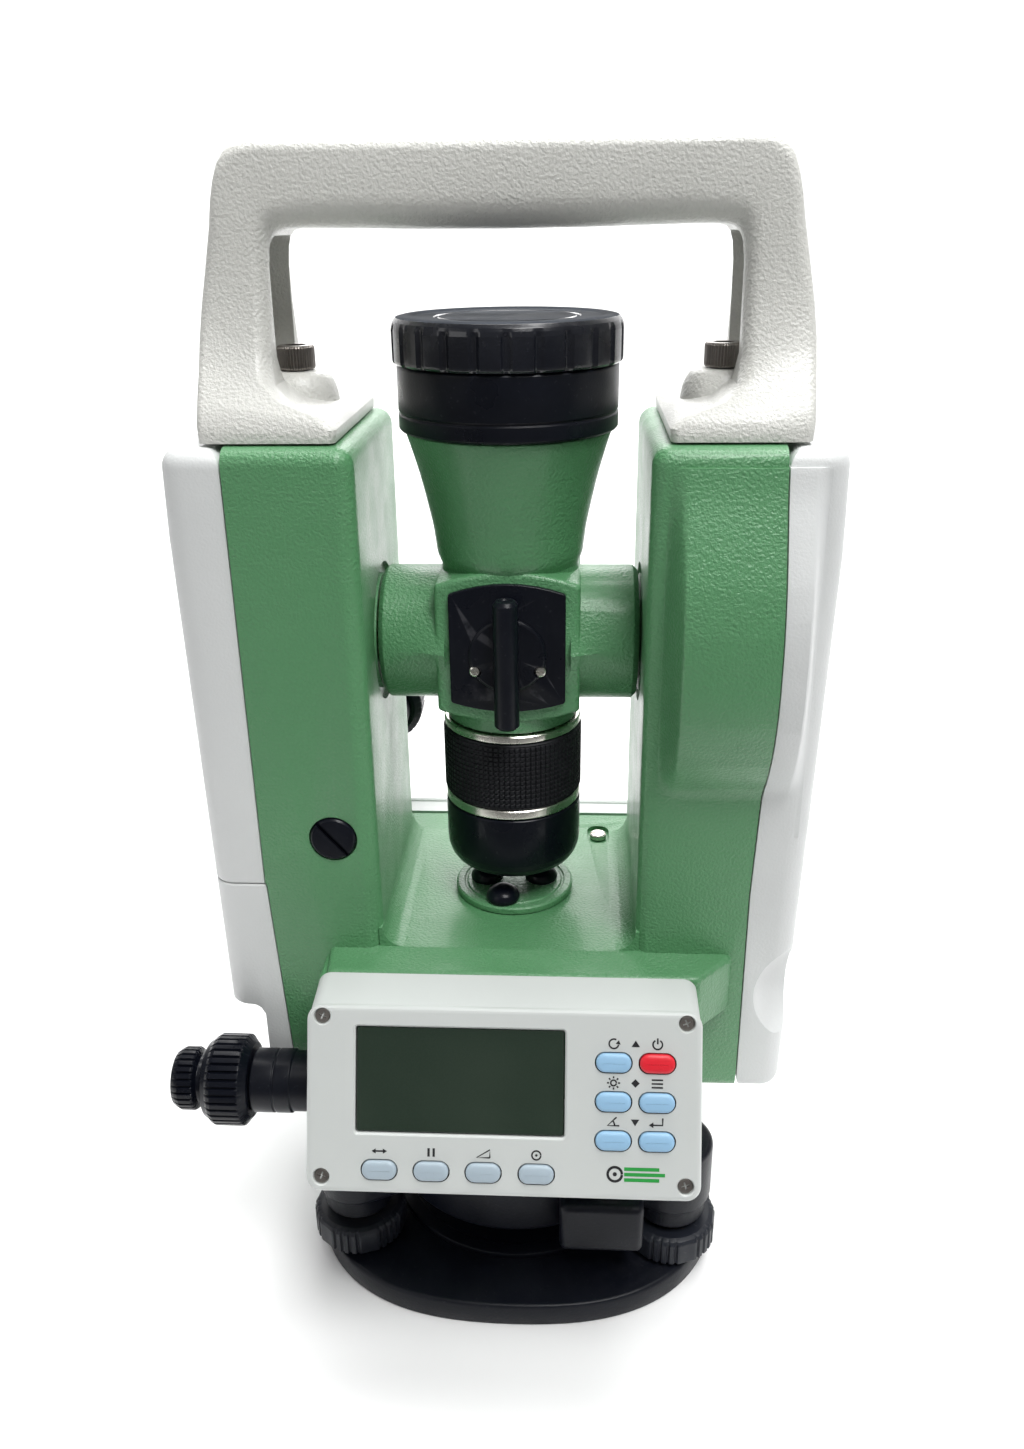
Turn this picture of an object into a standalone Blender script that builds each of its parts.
"""Surveying theodolite / total station on its levelling base, telescope pointing straight up.

Metres, +Z up, the front display faces -Y, +X is the observer's right. The origin is the centre
of the underside of the base plate, on the vertical axis. Every separate piece is one object.
"""

import math

import bmesh
import bpy
from mathutils import Matrix, Vector

for old in list(bpy.data.objects):
    bpy.data.objects.remove(old, do_unlink=True)

MM = 0.001
GAP = 0.3  # clearance left between neighbouring pieces, mm
BIG, MID, SMALL, TINY = 32, 24, 14, 10  # facets round a piece, by its size

# ---- levelling base -------------------------------------------------------------------------
PLATE_R = 64.2  # mean radius of the rounded-triangle base plate
PLATE_LOBE = 4.6  # how far its corners stand beyond that, and its flats fall short
PLATE_T = 8.0
TRIPOD_HOLE_R = 7.95  # 5/8 inch tripod screw
FOOT_R = 58.0  # radius of the circle through the three foot screws
FOOT_ANGLES = {"left": 210.0, "right": -30.0, "rear": 90.0}
KNOB_R = 14.7
KNOB_Z0 = 9.0
KNOB_Z1 = 18.8
ARM_Z0 = 27.3
BODY_TOP = 49.0
HUB_R = 43.0
DRUM_R = 46.0
DRUM_TOP = 61.6

# ---- alidade --------------------------------------------------------------------------------
AXIS_Z = 204.6  # height of the telescope's trunnion axis
HALF_GAP = 36.0  # from the middle to the inner face of a standard
FRAME_X = 68.0  # from the middle to the outer face of a standard
FRAME_Y = 36.0  # half depth of a standard
FRAME_TOP = 262.0
FRAME_BOTTOM = 73.0
DECK_Z = 121.0  # floor between the standards
COVER_X = 84.5
COVER_Y = 35.5
SPLIT_Z = 141.0  # seam between the battery pack and the cover below it
CIRCLE_R = 35.5  # glass circles, 71 mm across
BULGE_R = 49.2  # vertical circle housing
# how far the seam beside each standard, and the cover's outer face, lie inwards of the plumb, by height
SEAM_LEAN = {-1: [(73, 3.6), (141, 0.4), (142, 0), (262, 0)], 1: [(73, 1.2), (140, 1.4), (180, 0), (262, 0)]}
SIDE_DRAFT = {-1: [(73, 1.4), (240, -0.3), (262, 0.3)], 1: [(73, 4.4), (235, 0.4), (262, 1.0)]}

# ---- display panels -------------------------------------------------------------------------
TILT = math.radians(23.0)
PANEL_Y = -71.4
PANEL_Z = 97.0
PANEL_W = 105.2
PANEL_H = 50.0
BEZEL_BACK = -48.3
LCD_U = -11.5
LCD_V = 5.3
LCD_W = 56.0
LCD_H = 28.6
KEY_W = 9.3
KEY_H = 5.0
KEY_TRAVEL = 0.8
KEYS = {
    "key_repeat": (29.3, 11.5),
    "key_power": (40.8, 11.5),
    "key_lamp": (29.3, 1.15),
    "key_menu": (40.8, 1.15),
    "key_angle": (29.3, -9.15),
    "key_enter": (40.8, -9.15),
    "key_side": (-32.8, -18.6),
    "key_hold": (-18.9, -18.6),
    "key_slope": (-5.0, -18.6),
    "key_zero": (9.1, -18.6),
}

# ---- telescope ------------------------------------------------------------------------------
CAP_R = 30.0
BARREL_R = 28.9
EYE_R = 20.0
TRUNNION_R = 18.8
TRUNNION_X = 35.3

# ---- handle ---------------------------------------------------------------------------------
HANDLE_Z0 = 262.6
HANDLE_TOP = 330.0
SCREW_X = 55.4

# ---- knobs ----------------------------------------------------------------------------------
H_AXIS = (-46.5, 81.5)  # y, z of the horizontal clamp and tangent axis
V_AXIS = (-47.8, 156.3)  # x, z of the vertical clamp and tangent axis
BARREL_KNOB_R = 9.1
TANGENT_R = 13.0
CLAMP_R = 9.0

scene = bpy.context.scene
parts = bpy.data.collections.new("surveying_total_station")
cutters = bpy.data.collections.new("cutters")
scene.collection.children.link(parts)
scene.collection.children.link(cutters)
cutters.hide_render = True


def material(name, colour, roughness, metallic=0.0):
    made = bpy.data.materials.new(name)
    made.use_nodes = True
    shader = made.node_tree.nodes["Principled BSDF"]
    shader.inputs["Base Color"].default_value = (*colour, 1.0)
    shader.inputs["Roughness"].default_value = roughness
    shader.inputs["Metallic"].default_value = metallic
    return made


GREEN = material("green_wrinkle_paint", (0.10, 0.29, 0.13), 0.45)
GREY = material("warm_grey_wrinkle_paint", (0.62, 0.61, 0.56), 0.4)
WHITE = material("off_white_plastic", (0.70, 0.70, 0.68), 0.4)
BEZEL = material("pale_bezel_plastic", (0.74, 0.75, 0.72), 0.45)
BLACK = material("black_anodised_aluminium", (0.012, 0.013, 0.018), 0.4, 0.6)
BLACK_PAINT = material("black_paint_on_aluminium", (0.012, 0.013, 0.018), 0.45)
BLACK_PLASTIC = material("black_plastic", (0.010, 0.010, 0.014), 0.25)
RUBBER = material("black_rubber", (0.012, 0.012, 0.014), 0.7)
STEEL = material("steel", (0.55, 0.55, 0.55), 0.3, 1.0)
DARK_STEEL = material("dark_steel", (0.20, 0.19, 0.18), 0.35, 1.0)
BRASS = material("brass", (0.70, 0.50, 0.20), 0.3, 1.0)
GLASS = material("coated_optical_glass", (0.10, 0.12, 0.16), 0.05)
LCD = material("lcd_glass", (0.035, 0.05, 0.038), 0.15)
BLUE_KEY = material("pale_blue_silicone_key", (0.38, 0.58, 0.82), 0.5)
GREY_KEY = material("blue_grey_silicone_key", (0.55, 0.63, 0.72), 0.5)
RED_KEY = material("red_silicone_key", (0.72, 0.02, 0.03), 0.45)


AXES = {
    "Z": Matrix.Identity(3),
    "X": Matrix(((0, 0, 1), (1, 0, 0), (0, 1, 0))),
    "Y": Matrix(((0, 1, 0), (0, 0, 1), (1, 0, 0))),
}
SHARP = math.radians(35)  # faces that meet at more than this keep a crisp edge


def finish(name, mesh_builder, place, colour):
    """Makes the object; with no colour it is a hidden helper for a Boolean."""
    mesh = bpy.data.meshes.new(name)
    bmesh.ops.recalc_face_normals(mesh_builder, faces=mesh_builder.faces)
    mesh_builder.to_mesh(mesh)
    mesh_builder.free()
    mesh.shade_smooth()
    mesh.set_sharp_from_angle(angle=SHARP)
    made = bpy.data.objects.new(name, mesh)
    made.location = Vector(place) * MM
    if colour is None:
        cutters.objects.link(made)
        made.hide_render = True
        made.display_type = "WIRE"
    else:
        parts.objects.link(made)
        mesh.materials.append(colour)
    return made


def loft(name, loops, colour=None, place=(0, 0, 0)):
    """A solid through unlike closed loops, all with the same count of points, capped at both ends."""
    builder = bmesh.new()
    rows = [[builder.verts.new(Vector(p) * MM) for p in loop] for loop in loops]
    count = len(rows[0])
    for low, high in zip(rows, rows[1:]):
        for i in range(count):
            j = (i + 1) % count
            builder.faces.new((low[i], low[j], high[j], high[i]))
    builder.faces.new(rows[0])
    builder.faces.new(rows[-1])
    return finish(name, builder, place, colour)


def prism(name, outline, low, high, axis="Z", colour=None, place=(0, 0, 0), edge=0.0):
    """An outline of 2-D points extruded from low to high along an axis, its end edges bevelled."""
    turn = AXES[axis]
    builder = bmesh.new()
    corners = [builder.verts.new(turn @ Vector((*p, low)) * MM) for p in outline]
    end = builder.faces.new(corners)
    pushed = bmesh.ops.extrude_face_region(builder, geom=[end])["geom"]
    far_corners = [item for item in pushed if isinstance(item, bmesh.types.BMVert)]
    along = turn @ Vector((0, 0, high - low)) * MM
    bmesh.ops.translate(builder, verts=far_corners, vec=along)
    if edge:
        rims = [e for e in builder.edges if abs((e.verts[0].co - e.verts[1].co).dot(along)) < 1e-12]
        bmesh.ops.bevel(builder, geom=rims, offset=edge * MM, segments=1, affect="EDGES")
    return finish(name, builder, place, colour)


def turned(name, profile, steps=MID, axis="Z", colour=None, place=(0, 0, 0)):
    """A profile of (radius, height) points turned about an axis with a Screw modifier.

    A profile that starts and ends on the axis is a solid, any other one is closed on itself
    as a ring.
    """
    turn = AXES[axis]
    following = profile[1:] + profile[:1]
    twice_area = sum(r * h2 - r2 * h for (r, h), (r2, h2) in zip(profile, following))
    if twice_area > 0:  # a Screw's outer side has to run downwards
        profile = profile[::-1]
    builder = bmesh.new()
    verts = [builder.verts.new(turn @ Vector((r, 0, h)) * MM) for r, h in profile]
    for start, end in zip(verts, verts[1:]):
        builder.edges.new((start, end))
    if profile[0][0] or profile[-1][0]:
        builder.edges.new((verts[-1], verts[0]))
    made = finish(name, builder, place, colour)
    screw = made.modifiers.new("turn", "SCREW")
    screw.axis = axis
    screw.steps = screw.render_steps = steps
    screw.use_merge_vertices = True
    screw.merge_threshold = 1e-5
    bpy.context.view_layer.update()
    shape = bpy.data.meshes.new_from_object(made.evaluated_get(bpy.context.evaluated_depsgraph_get()))
    made.modifiers.clear()
    made.data = shape
    shape.shade_smooth()
    shape.set_sharp_from_angle(angle=SHARP)
    return made


def ribbed(name, profile, pattern, repeats, axis="Z", colour=None, place=(0, 0, 0)):
    """A solid of revolution with straight ribs round it, as on a knob.

    The profile's points are (radius, height[, groove depth]). pattern is one rib and its
    groove, as the share of the depth that is taken off at each step, and repeats counts them.
    """
    turn = AXES[axis]
    shares = pattern * repeats
    builder = bmesh.new()
    rows = []
    for radius, height, *depth in profile:
        row = []
        for i, share in enumerate(shares if radius else [0]):
            angle = 2 * math.pi * i / len(shares)
            r = radius - share * sum(depth)
            spot = turn @ Vector((r * math.cos(angle), r * math.sin(angle), height))
            row.append(builder.verts.new(spot * MM))
        rows.append(row)
    pairs = list(zip(rows, rows[1:]))
    if profile[0][0] or profile[-1][0]:
        pairs.append((rows[-1], rows[0]))
    for low, high in pairs:
        for i in range(len(shares)):
            ends = (i, (i + 1) % len(shares))
            quad = [low[k % len(low)] for k in ends] + [high[k % len(high)] for k in reversed(ends)]
            if len(set(quad)) > 2:
                builder.faces.new(dict.fromkeys(quad))
    return finish(name, builder, place, colour)


def box(name, low, high, colour=None, edge=0.0, segments=1, place=(0, 0, 0)):
    """A box between two corners, given relative to place, with bevelled edges if asked."""
    builder = bmesh.new()
    bmesh.ops.create_cube(builder, size=1.0)
    size = Vector(high) - Vector(low)
    middle = (Vector(high) + Vector(low)) / 2
    for vert in builder.verts:
        vert.co = Vector(a * b + c for a, b, c in zip(vert.co, size, middle)) * MM
    if edge:
        bmesh.ops.bevel(
            builder,
            geom=list(builder.edges),
            offset=edge * MM,
            segments=segments,
            profile=0.5,
            affect="EDGES",
        )
    return finish(name, builder, place, colour)


def boolean(target, other, operation="DIFFERENCE"):
    modifier = target.modifiers.new(f"{operation.lower()} {other.name}", "BOOLEAN")
    modifier.operation = operation
    modifier.object = other
    modifier.solver = "EXACT"
    return modifier


def rounded(half_w, half_h, radius, corner=3, centre=(0.0, 0.0)):
    """The outline of a rounded rectangle, anticlockwise from the right."""
    points = []
    for k, (sx, sy) in enumerate(((1, -1), (1, 1), (-1, 1), (-1, -1))):
        for i in range(corner + 1):
            angle = math.radians(-90 + 90 * k + 90 * i / corner)
            x = sx * (half_w - radius) + radius * math.cos(angle)
            y = sy * (half_h - radius) + radius * math.sin(angle)
            points.append((centre[0] + x, centre[1] + y))
    return points


def panel_point(u, v, out, side=-1):
    """A point on a display panel: u across, v up the slope, out along its normal."""
    y = PANEL_Y + v * math.sin(TILT) - out * math.cos(TILT)
    z = PANEL_Z + v * math.cos(TILT) + out * math.sin(TILT)
    return (u, y, z) if side < 0 else (-u, -y, z)


# ==== levelling base =========================================================================
def plate_outline(inset=0.0):
    points = []
    for i in range(48):
        angle = math.radians(7.5 * i)
        radius = PLATE_R + PLATE_LOBE * math.cos(3 * (angle + math.radians(30))) - inset
        points.append((radius * math.cos(angle), radius * math.sin(angle)))
    return points


base_plate = loft(
    "base_plate",
    [
        [(x, y, height) for x, y in plate_outline(inset)]
        for height, inset in ((0, 0.6), (0.6, 0), (PLATE_T - 1, 0), (PLATE_T, 1))
    ],
    BLACK_PAINT,
)
tripod_hole = turned("tripod_hole", [(0, -2), (TRIPOD_HOLE_R, -2), (TRIPOD_HOLE_R, 12), (0, 12)], MID)
boolean(base_plate, tripod_hole)

spring_plate = turned(
    "spring_plate", [(12, 8.3), (42.2, 8.3), (42.2, 9.9), (41.8, 10.3), (12, 10.3)], MID, "Z", BLACK_PAINT
)

tribrach_body = turned(
    "tribrach_body",
    [(22, 10.6), (30, 10.6), (30, 20), (HUB_R, 20.6), (HUB_R, 45), (40, BODY_TOP), (22, BODY_TOP)],
    MID,
    "Z",
    BLACK_PAINT,
)
for key, degrees in FOOT_ANGLES.items():
    angle = math.radians(degrees)
    end = Vector((FOOT_R * math.cos(angle), FOOT_R * math.sin(angle)))
    along = end.normalized()
    across = Vector((-along.y, along.x))
    outline = []
    for i in range(9):
        sweep = math.radians(-90 + 180 * i / 8)
        outline.append(end + 12.5 * (along * math.cos(sweep) + across * math.sin(sweep)))
    outline.append(along * 26 + across * 17)
    outline.append(along * 26 - across * 17)
    arm = prism(f"arm_{key}", [tuple(p) for p in outline], ARM_Z0, BODY_TOP - 0.6, edge=1.0)
    boolean(tribrach_body, arm, "UNION")
    collar = turned(
        f"collar_{key}", [(0, 20.8), (10.4, 20.8), (11.0, 21.6), (11.0, 28.0), (0, 28.0)], MID, place=(*end, 0)
    )
    boolean(tribrach_body, collar, "UNION")
    seat = turned(
        f"bush_seat_{key}", [(0, 18), (7.8, 18), (7.8, ARM_Z0), (0, ARM_Z0)], SMALL, place=(*end, 0)
    )
    boolean(tribrach_body, seat)
    ball = turned(
        f"socket_{key}", [(0, 5.9), (5.2, 5.9), (5.2, 9.5), (0, 9.5)], SMALL, place=(*end, 0)
    )
    boolean(base_plate, ball)
    bore = turned(f"screw_bore_{key}", [(0, 22), (4.0, 22), (4.0, 52), (0, 52)], SMALL, place=(*end, 0))
    boolean(tribrach_body, bore)
    turned(
        f"foot_bush_{key}",
        [(4.0, 19.2), (7.2, 19.2), (7.5, 19.8), (7.5, ARM_Z0 - GAP), (4.0, ARM_Z0 - GAP)],
        SMALL,
        "Z",
        BRASS,
        place=(*end, 0),
    )
    ribbed(
        f"foot_screw_{key}",
        [
            (0, 6.2), (3.4, 6.2), (4.6, 7.2), (4.6, KNOB_Z0), (KNOB_R - 1.2, KNOB_Z0),
            (KNOB_R, KNOB_Z0 + 0.8, 1.0), (KNOB_R, KNOB_Z1 - 1.2, 1.0), (KNOB_R - 1.6, KNOB_Z1),
            (3.6, KNOB_Z1), (3.6, 46), (3.0, 46.6), (0, 46.6),
        ],
        [1.0, 0.0, 0.0],
        8,
        "Z",
        BLACK_PLASTIC,
        (*end, 0),
    )

level_block = box("level_block", (15, -50, 20.5), (40.6, -25, 38.5), edge=2.0, segments=2)
boolean(tribrach_body, level_block, "UNION")
circular_level = turned(
    "circular_level",
    [(0, 38.8), (5.0, 38.8), (5.0, 43.6), (4.6, 44.2), (3.8, 44.2), (3.8, 42.2), (0, 42.2)],
    SMALL,
    "Z",
    STEEL,
    place=(30.5, -40.8, 0),
)
turned(
    "circular_level_vial",
    [(0, 42.5), (3.5, 42.5), (3.5, 43.6), (2.2, 44.3), (0, 44.5)],
    SMALL,
    "Z",
    GLASS,
    place=(30.5, -40.8, 0),
)

circle_housing = turned(
    "circle_housing",
    [
        (9.4, 22), (21.7, 22), (21.7, BODY_TOP + GAP), (DRUM_R - 1, BODY_TOP + GAP),
        (DRUM_R, 50.3), (DRUM_R, DRUM_TOP - 1), (DRUM_R - 1, DRUM_TOP), (41, DRUM_TOP),
        (41, 53), (9.4, 53),
    ],
    BIG,
    "Z",
    BLACK_PAINT,
)

# ==== alidade: frame and the pieces on its vertical axis =====================================
turned(
    "vertical_spindle",
    [(0, 24), (9.0, 24), (9.0, 57.5), (14, 58), (14, 62.0), (0, 62.0)],
    MID,
    "Z",
    STEEL,
)
turned(
    "horizontal_circle",
    [(9.3, 54.6), (CIRCLE_R, 54.6), (CIRCLE_R, 56.1), (9.3, 56.1)],
    MID,
    "Z",
    GLASS,
)


def between(table, z):
    """The value at height z of a table of (height, value) points, straight from one to the next."""
    z = min(max(z, table[0][0]), table[-1][0])
    for (z0, v0), (z1, v1) in zip(table, table[1:]):
        if z <= z1:
            return v0 + (v1 - v0) * (z - z0) / (z1 - z0)
    return table[-1][1]


def bulge_outline(grow=0.0):
    """Side view of the vertical circle housing, y and z."""
    front = [(36 + grow, 258.5), (38.6 + grow, 250.6), (41.2 + grow, 243.9), (46.2 + grow, 230.7)]
    front.append((48.6 + grow, 219))
    for degrees in (0, 14, 28, 41.4):
        angle = math.radians(degrees)
        front.append(((BULGE_R + grow) * math.cos(angle), 206 - BULGE_R * math.sin(angle)))
    front.append((30.0, 169.5))
    return front + [(-y, z) for y, z in reversed(front)] + [(-30.0, 258.0), (30.0, 258.0)]


alidade_frame = box(
    "alidade_frame",
    (-FRAME_X, -FRAME_Y, FRAME_BOTTOM),
    (-HALF_GAP, FRAME_Y, FRAME_TOP),
    GREEN,
    edge=3.5,
    segments=2,
)
right_standard = box(
    "right_standard",
    (HALF_GAP, -FRAME_Y, FRAME_BOTTOM),
    (FRAME_X, FRAME_Y, FRAME_TOP),
    edge=3.5,
    segments=2,
)
deck = box("deck", (-40, -FRAME_Y + 0.4, 92), (40, FRAME_Y - 0.4, DECK_Z))
shelf_outline = [(-51.3, 30), (-51.3, 36), (-50, 48), (53, 48), (62.8, 37.5), (62.8, 30)]
front_shelf = prism("front_shelf", [(x, -y) for x, y in shelf_outline], 103, DECK_Z - 0.1, edge=1.0)
rear_shelf = prism("rear_shelf", [(-x, y) for x, y in shelf_outline], 103, DECK_Z - 0.1, edge=1.0)
front_pad = box("front_pad", (-52.9, -47.9, 76), (52, -20, 118))
rear_pad = box("rear_pad", (-52, 20, 76), (52, 47.9, 118))
skirt = turned("skirt", [(0, 62.4), (46.4, 62.4), (47.4, 63.4), (47.4, 100), (0, 100)], BIG)
bulge = prism("bulge", bulge_outline(), 41.5, FRAME_X - 0.1, "X", edge=1.5)
for piece in (right_standard, deck, front_shelf, rear_shelf, front_pad, rear_pad, skirt, bulge):
    boolean(alidade_frame, piece, "UNION")
left_pocket = box("left_pocket", (-75, -30, 80), (-41, 30, 255), edge=3, segments=1)
right_pocket = box("right_pocket", (41, -30, 80), (75, 30, 255), edge=3, segments=1)
circle_pocket = turned("circle_pocket", [(0, 50), (38.5, 50), (38.5, 80), (0, 80)], BIG, "X")
circle_pocket.location.z = AXIS_Z * MM
bearing_hole = turned("bearing_hole", [(0, -60), (14.3, -60), (14.3, 60), (0, 60)], MID, "X")
bearing_hole.location.z = AXIS_Z * MM
plug_hole = turned("plug_hole", [(0, -50), (6.6, -50), (6.6, -33.5), (0, -33.5)], SMALL, "Y")
plug_hole.location = Vector((V_AXIS[0], 0, V_AXIS[1])) * MM
screw_recess = prism(
    "screw_recess", rounded(3.6, 6.0, 3.4, 4, (26.6, 33.0)), DECK_Z - 1.4, DECK_Z + 5
)
left_tap = turned("left_tap", [(0, 240), (3.3, 240), (3.3, 270), (0, 270)], TINY)
left_tap.location.x = -SCREW_X * MM
right_tap = turned("right_tap", [(0, 240), (3.3, 240), (3.3, 270), (0, 270)], TINY)
right_tap.location.x = SCREW_X * MM
adjust_bore = turned("adjust_bore", [(0, 108), (1.8, 108), (1.8, 125), (0, 125)], TINY)
adjust_bore.location = Vector((26.6, 33.0, 0)) * MM
for piece in (
    left_pocket, right_pocket, circle_pocket, bearing_hole, plug_hole, screw_recess,
    left_tap, right_tap, adjust_bore,
):
    boolean(alidade_frame, piece)
for side, table in SEAM_LEAN.items():
    edge_line = [(60, side * 75), (270, side * 75)]
    edge_line += [(z, side * (FRAME_X - lean)) for z, lean in reversed([(60, table[0][1])] + table)]
    wedge = prism(f"seam_wedge_{side}", edge_line, -60, 60, "Y")
    boolean(alidade_frame, wedge)

for key, side in (("left", -1), ("right", 1)):
    turned(
        f"trunnion_bearing_{key}",
        [(9.4, side * 36.3), (14.0, side * 36.3), (14.0, side * 40.7), (9.4, side * 40.7)],
        MID,
        "X",
        BRASS,
        place=(0, 0, AXIS_Z),
    )

turned(
    "slotted_plug",
    [(0, -33.8), (6.3, -33.8), (6.3, -36.2), (5.9, -36.7), (0, -36.7)],
    SMALL,
    "Y",
    BLACK_PLASTIC,
    place=(V_AXIS[0], 0, V_AXIS[1]),
)
plug_slot = box("plug_slot", (-0.55, -38, -8), (0.55, -35.6, 8))
plug_slot.location = Vector((V_AXIS[0], 0, V_AXIS[1])) * MM
plug_slot.rotation_euler.y = math.radians(-40)
boolean(bpy.data.objects["slotted_plug"], plug_slot)

turned(
    "level_adjust_screw",
    [(0, 110), (1.5, 110), (1.5, 119.9), (2.7, 119.9), (2.7, 121.2), (2.3, 121.6), (0, 121.6)],
    TINY,
    "Z",
    STEEL,
    place=(26.6, 33.0, 0),
)
slot = box("adjust_slot", (-4, -0.35, 121.0), (4, 0.35, 123))
slot.location = Vector((26.6, 33.0, 0)) * MM
boolean(bpy.data.objects["level_adjust_screw"], slot)

axis_cover = turned(
    "axis_cover",
    [(0, DECK_Z + GAP), (18, DECK_Z + GAP), (18, 122.8), (17.2, 123.4), (0, 123.4)],
    MID,
    "Z",
    GREEN,
)
CAPS = {"front": (-2.8, -12.4), "left": (-8.4, -0.6), "right": (8.3, -0.2)}
for key, (x, y) in CAPS.items():
    turned(
        f"axis_cap_{key}",
        [(0, 123.7), (4.5, 123.7), (5.0, 124.2), (5.0, 125.0), (4.3, 126.5), (2.5, 127.7), (0, 128.1)],
        SMALL,
        "Z",
        BLACK_PLASTIC,
        place=(x, y, 0),
    )


# ==== side covers and battery ================================================================
def side_outline(side, z, inset=0.0):
    """Plan view of a side cover at height z, rounded on its outer corners."""
    outer, flat, corner = COVER_X - inset - between(SIDE_DRAFT[side], z), COVER_Y - inset, 7.0 - inset
    points = [(FRAME_X + GAP - between(SEAM_LEAN[side], z), -flat)]
    for i in range(5):
        angle = math.radians(-90 + 22.5 * i)
        points.append(
            (outer - corner + corner * math.cos(angle), corner - flat + corner * math.sin(angle))
        )
    points += [(x, -y) for x, y in reversed(points)]
    return [(side * x, y) for x, y in points]


def side_cover(name, side, ease_low, ease_high):
    bends = sorted({z for z, _ in SEAM_LEAN[side] + SIDE_DRAFT[side]})
    middle = [(z, 0) for z in bends if ease_low[-1][0] < z < ease_high[0][0]]
    levels = []
    for height, inset in ease_low + middle + ease_high:
        levels.append([(x, y, height) for x, y in side_outline(side, height, inset)])
    return loft(name, levels, WHITE)


TOP_EASE = [(255.5, 0), (258.6, 0.9), (260.8, 2.9), (261.8, 6.0)]
BOTTOM_EASE = [(FRAME_BOTTOM + 0.2, 3.0), (75.5, 0.8), (78, 0)]
battery_pack = side_cover(
    "battery_pack", -1, [(SPLIT_Z + GAP, 0.5), (SPLIT_Z + 0.8, 0)], TOP_EASE
)
battery_core = box("battery_core", (-72, -27, 150), (-52, 27, 250), edge=1.5)
boolean(battery_pack, battery_core, "UNION")
left_side_cover = side_cover(
    "left_side_cover", -1, BOTTOM_EASE, [(SPLIT_Z - 0.5, 0), (SPLIT_Z, 0.5)]
)
knob_notch = box("knob_notch", (-95, -60, 50), (-72.4, -6, 100), edge=4.0, segments=3)
boolean(left_side_cover, knob_notch)
right_side_cover = side_cover("right_side_cover", 1, BOTTOM_EASE, TOP_EASE)
cover_bulge = prism("cover_bulge", bulge_outline(-0.4), FRAME_X + GAP, 77.0, "X", edge=1.5)
boolean(right_side_cover, cover_bulge, "UNION")
cover_pocket = box("cover_pocket", (60, -28, 82), (80.5, 28, 250), edge=2)
boolean(right_side_cover, cover_pocket)
for sign in (-1, 1):
    builder = bmesh.new()
    bmesh.ops.create_uvsphere(builder, u_segments=16, v_segments=12, radius=16.5 * MM)
    scallop_cutter = finish(f"scallop_{sign}", builder, (88.2, sign * 41.5, 104.5), None)
    boolean(right_side_cover, scallop_cutter)

# ==== handle =================================================================================
outer_edge = [
    (74.6, HANDLE_Z0), (75.3, 272), (76.1, 283), (75.2, 293), (73.0, 305), (70.6, 317.5), (69.0, 323.5),
    (66.0, 328.0), (61, HANDLE_TOP),
]
inner_edge = [
    (40.6, HANDLE_Z0), (40.2, 266.2), (43.5, 268.6), (52.5, 271.0), (57.0, 275.0), (57.9, 281), (57.4, 305.5),
    (54.9, 309.4), (49, 310.6),
]
arch = (
    outer_edge
    + [(-x, z) for x, z in reversed(outer_edge)]
    + [(-x, z) for x, z in inner_edge]
    + list(reversed(inner_edge))
)
half_depth = [
    (31.0, HANDLE_Z0), (31.0, 265.5), (28.5, 270), (20.0, 279.5), (16.4, 287), (15.2, 300),
    (14.8, 325), (14.0, 328.8), (12.6, HANDLE_TOP),
]


handle = loft("handle", [[(x, y, z) for x, z in arch] for y in (-40, 40)], GREY)
depth_outline = half_depth + [(-y, z) for y, z in reversed(half_depth)]
depth_solid = prism("handle_depth", depth_outline, -90, 90, "X")
boolean(handle, depth_solid, "INTERSECT")
for key, side in (("left", -1), ("right", 1)):
    boss = turned(
        f"handle_boss_{key}",
        [(0, 264), (10.5, 264), (10.4, 269.0), (9.2, 273.6), (6.6, 276.4), (0, 276.4)],
        MID,
        place=(side * SCREW_X, 0, 0),
    )
    low = (min(side * 50, side * 66.5), -10.5, 274.4)
    high = (max(side * 50, side * 66.5), 10.5, 309)
    channel = box(f"handle_channel_{key}", low, high, edge=2.0)
    hole = turned(
        f"handle_hole_{key}", [(0, 250), (3.3, 250), (3.3, 280), (0, 280)], SMALL,
        place=(side * SCREW_X, 0, 0),
    )
    boolean(handle, channel)
    boolean(handle, boss, "UNION")
    boolean(handle, hole)
    screw = turned(
        f"handle_screw_{key}",
        [(0, 250), (2.9, 250), (2.9, 276.7), (4.9, 276.7), (4.9, 282.2), (4.4, 282.7), (0, 282.7)],
        SMALL,
        "Z",
        DARK_STEEL,
        place=(side * SCREW_X, 0, 0),
    )
    hexagon = turned(
        f"hex_{key}", [(0, 279.4), (2.9, 279.4), (2.9, 285), (0, 285)], 6,
        place=(side * SCREW_X, 0, 0),
    )
    boolean(screw, hexagon)


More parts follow.
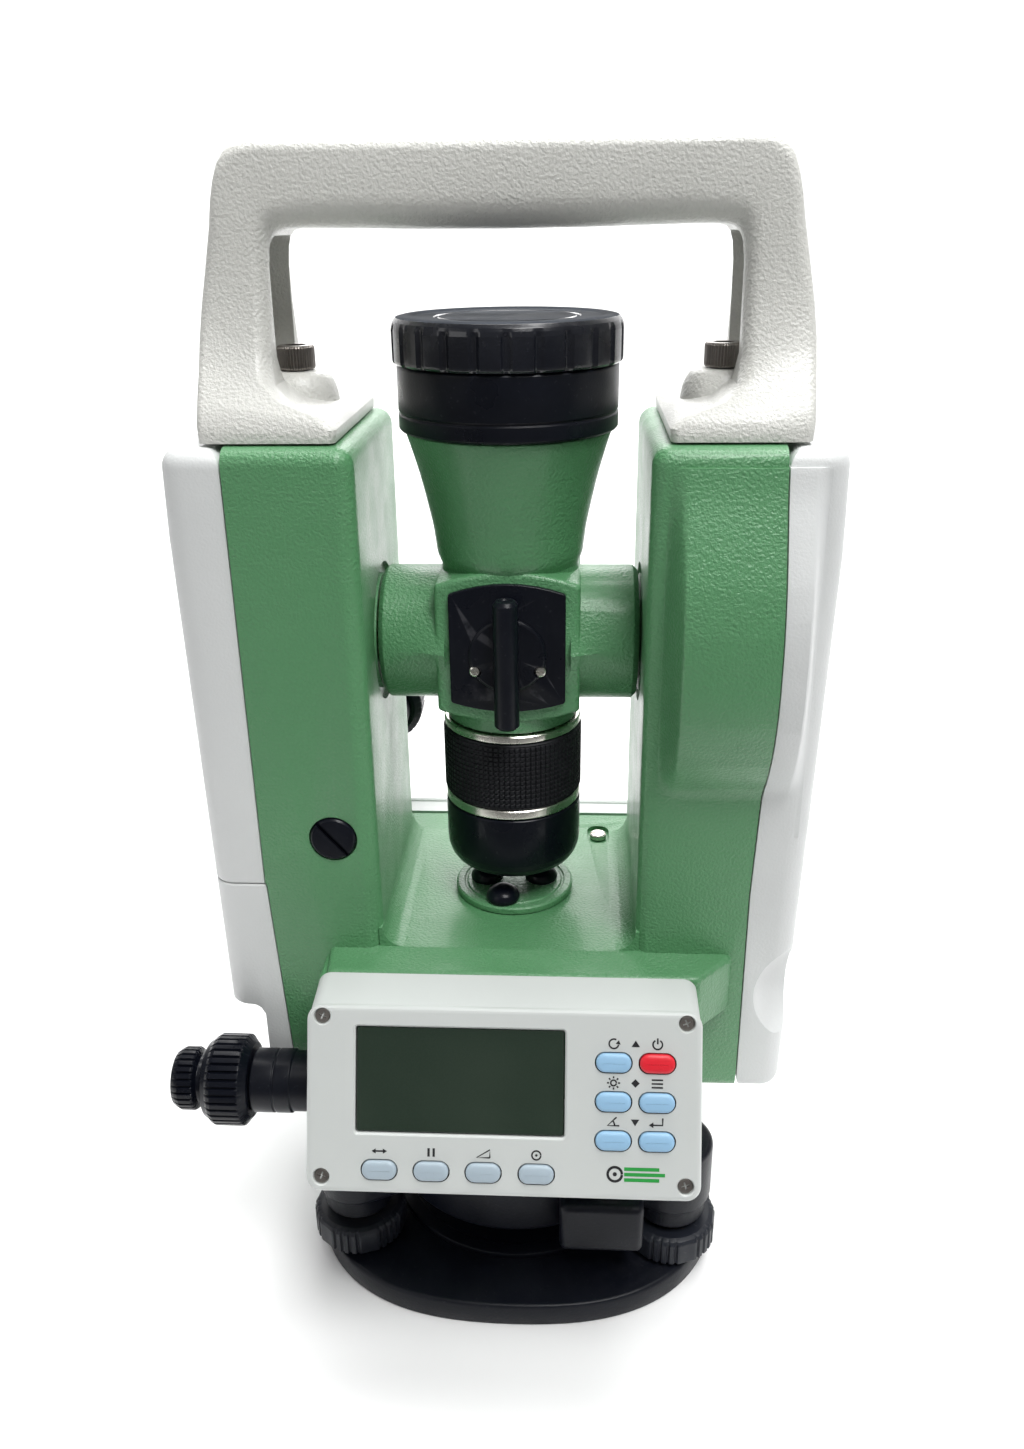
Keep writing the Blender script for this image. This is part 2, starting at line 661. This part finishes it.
# ==== display panels =========================================================================
def bezel(name, side):
    """A tray whose sloping face holds the window, open at the back against the frame."""
    half_w, half_h = PANEL_W / 2, PANEL_H / 2
    face = [panel_point(u, v, 0, side) for u, v in rounded(half_w - 0.8, half_h - 0.8, 3.2)]
    rim = [panel_point(u, v, -0.9, side) for u, v in rounded(half_w, half_h, 4.0)]
    back = []
    for u, v in rounded(50.6, 22.4, 4.0):
        back.append((-side * u, side * -BEZEL_BACK, 98.5 + v))
    solid = loft(name, [face, rim, back], BEZEL)
    inner_face = [panel_point(u, v, -3.0, side) for u, v in rounded(half_w - 4.0, half_h - 3.4, 2.0)]
    inner_back = []
    for u, v in rounded(47.6, 19.6, 2.0):
        inner_back.append((-side * u, side * -(BEZEL_BACK + 2.0), 98.5 + v))
    hollow = loft(f"{name}_hollow", [inner_face, inner_back])
    boolean(solid, hollow)
    window = loft(
        f"{name}_window",
        [
            [panel_point(u, v, out, side) for u, v in rounded(LCD_W / 2, LCD_H / 2, 0.6, 2, (LCD_U, LCD_V))]
            for out in (-6.0, 3.0)
        ],
    )
    boolean(solid, window)
    return solid


def lcd(name, side):
    return loft(
        name,
        [
            [
                panel_point(u, v, out, side)
                for u, v in rounded(LCD_W / 2 - GAP, LCD_H / 2 - GAP, 0.5, 1, (LCD_U, LCD_V))
            ]
            for out in (-4.6, -0.9)
        ],
        LCD,
    )


front_bezel = bezel("front_bezel", -1)
rear_bezel = bezel("rear_bezel", 1)
lcd("front_lcd", -1)
lcd("rear_lcd", 1)

NORMAL = Vector((0, -math.cos(TILT), math.sin(TILT)))
for key, (u, v) in KEYS.items():
    centre = Vector(panel_point(u, v, 0))
    levels = []
    for out, inset in ((-4.4, 0.0), (0.5, 0.0), (1.0, 0.45), (1.2, 1.1)):
        loop = []
        for a, b in rounded(KEY_W / 2 - inset, KEY_H / 2 - inset, KEY_H / 2 - inset - 0.05, 2):
            loop.append(Vector(panel_point(u + a, v + b, out)) - centre)
        levels.append(loop)
    if key == "key_power":
        colour = RED_KEY
    elif v < -15:
        colour = GREY_KEY
    else:
        colour = BLUE_KEY
    loft(key, levels, colour, place=tuple(centre))
    well = []
    for out in (-8.0, 4.0):
        outline = rounded(KEY_W / 2 + 0.35, KEY_H / 2 + 0.35, KEY_H / 2 + 0.3, 2, (u, v))
        well.append([panel_point(a, b, out) for a, b in outline])
    boolean(front_bezel, loft(f"well_{key}", well))


# ==== clamp and tangent knobs ================================================================
def coaxial(prefix, start, sign, axis, place):
    """Fixed barrel, ribbed tangent knob and smaller clamp knob, in line outwards from start."""

    def at(distance):
        return sign * (start + distance)

    turned(
        f"{prefix}_barrel",
        [(0, at(0)), (8.6, at(0)), (8.6, at(9)), (BARREL_KNOB_R, at(9.4)), (BARREL_KNOB_R, at(20.3)),
         (8.6, at(20.8)), (0, at(20.8))],
        SMALL, axis, BLACK, place,
    )
    ribbed(
        f"{prefix}_tangent_knob",
        [(0, at(21.1)), (10.6, at(21.1)), (TANGENT_R, at(23.0), 0.6), (TANGENT_R, at(31.6), 0.6),
         (10.2, at(34.6)), (0, at(34.6))],
        [0.0, 1.0], 14, axis, BLACK_PLASTIC, place,
    )
    ribbed(
        f"{prefix}_clamp_knob",
        [(0, at(34.9)), (6.8, at(34.9)), (6.8, at(37.0)), (CLAMP_R, at(37.6), 0.5),
         (CLAMP_R, at(41.8), 0.5), (7.6, at(43.9)), (0, at(43.9))],
        [0.0, 1.0], 12, axis, BLACK_PLASTIC, place,
    )


coaxial("horizontal", 53.2, -1, "X", (0, H_AXIS[0], H_AXIS[1]))
coaxial("vertical", 36.3, 1, "Y", (V_AXIS[0], 0, V_AXIS[1]))

# ==== telescope ==============================================================================
PIVOT = (0, 0, AXIS_Z)
telescope_body = box(
    "telescope_body", (-19.5, -19.0, -20.0), (19.5, 19.0, 21.5), GREEN, 2.2, 2, place=PIVOT
)
trunnions = turned(
    "trunnions",
    [(0, -47), (9.0, -47), (9.0, -TRUNNION_X), (TRUNNION_R, -TRUNNION_X), (TRUNNION_R, TRUNNION_X),
     (9.0, TRUNNION_X), (9.0, 58), (0, 58)],
    MID, "X", place=PIVOT,
)
cone = turned(
    "cone", [(0, 10), (18.9, 10), (18.9, 21), (20.0, 23.5), (21.3, 33), (24.2, 46), (27.4, 56.8), (0, 56.8)],
    MID, place=PIVOT,
)
eye_tube = turned(
    "eye_tube", [(0, -62), (14.6, -62), (14.6, -24.1), (18.8, -24.0), (18.8, -10), (0, -10)],
    MID, place=PIVOT,
)
for piece in (trunnions, cone, eye_tube):
    boolean(telescope_body, piece, "UNION")
light_path = turned(
    "light_path", [(0, -70), (11, -70), (11, -18), (14, -14), (14, 20), (23.5, 58), (0, 58)],
    MID, place=PIVOT,
)
boolean(telescope_body, light_path)

turned(
    "objective_barrel",
    [
        (24.0, 57.1),
        (28.4, 57.1),
        (BARREL_R, 57.7),
        (BARREL_R, 73.4),
        (27.4, 73.5),
        (27.4, 81.6),
        (24.0, 81.6),
    ],
    MID, "Z", BLACK, PIVOT,
)
turned(
    "objective_lens",
    [(0, 64.0), (12, 64.9), (23.7, 67.8), (23.7, 71.5), (12, 74.4), (0, 75.3)],
    MID, "Z", GLASS, PIVOT,
)
ribbed(
    "objective_cap",
    [(27.8, 73.8), (CAP_R - 0.3, 73.8, 0.7), (CAP_R, 74.4, 0.7), (CAP_R, 83.2, 0.7), (28.6, 85.0),
     (25.4, 85.3), (0, 85.3), (0, 82.3), (27.8, 82.3)],
    [1.0, 0.0, 0.0], 11, "Z", BLACK_PLASTIC, PIVOT,
)
turned("upper_ring", [(15, -26.8), (19.9, -26.8), (19.9, -24.4), (15, -24.4)], MID, "Z", STEEL, PIVOT)
ribbed(
    "focusing_ring",
    [(15, -47.4), (19.8, -47.4), (20.2, -47.0, 0.35), (20.2, -27.5, 0.35), (19.8, -27.1), (15, -27.1)],
    [0.0, 1.0], TINY, "Z", RUBBER, PIVOT,
)
turned("lower_ring", [(15, -50.6), (19.9, -50.6), (19.9, -47.7), (15, -47.7)], MID, "Z", STEEL, PIVOT)
turned(
    "eyepiece",
    [(15, -50.9), (EYE_R, -50.9), (EYE_R, -64.5), (19.2, -68.2), (17.2, -70.6), (15.2, -71.4),
     (6.0, -71.4), (6.0, -65.5), (15, -64.0)],
    MID, "Z", BLACK_PLASTIC, PIVOT,
)


def sight(name, side):
    """Optical sight: a plate on the telescope's cube, a boss, and the sight tube standing off it."""
    arched = [(-15.2, -13.4), (-8, -15.2), (0, -15.9), (8, -15.2), (15.2, -13.4)]
    arched += [(15.2, 16.6), (8, 18.6), (0, 19.3), (-8, 18.6), (-15.2, 16.6)]
    plate = loft(
        name,
        [[(-side * x, side * y, z) for x, z in arched] for y in (19.3, 21.0)],
        BLACK,
        place=PIVOT,
    )
    boss = turned(f"{name}_boss", [(0, 20), (10.4, 20), (10.4, 22.0), (0, 22.0)], MID, "Y", place=PIVOT)
    web = box(f"{name}_web", (-2.6, 20.5, -13), (2.6, 26.5, 13), place=PIVOT)
    tube = turned(
        f"{name}_tube", [(0, -18.6), (3.0, -18.6), (3.4, -18.2), (3.4, 16.9), (3.0, 17.3), (0, 17.3)],
        SMALL, place=(0, side * 26.8, AXIS_Z),
    )
    if side < 0:
        boss.rotation_euler.z = math.pi
        web.rotation_euler.z = math.pi
    for piece in (boss, web, tube):
        boolean(plate, piece, "UNION")
    return plate


sight("front_sight", -1)
sight("rear_sight", 1)
turned(
    "vertical_circle",
    [(9.3, 53.6), (CIRCLE_R, 53.6), (CIRCLE_R, 55.1), (9.3, 55.1)],
    MID, "X", GLASS, PIVOT,
)
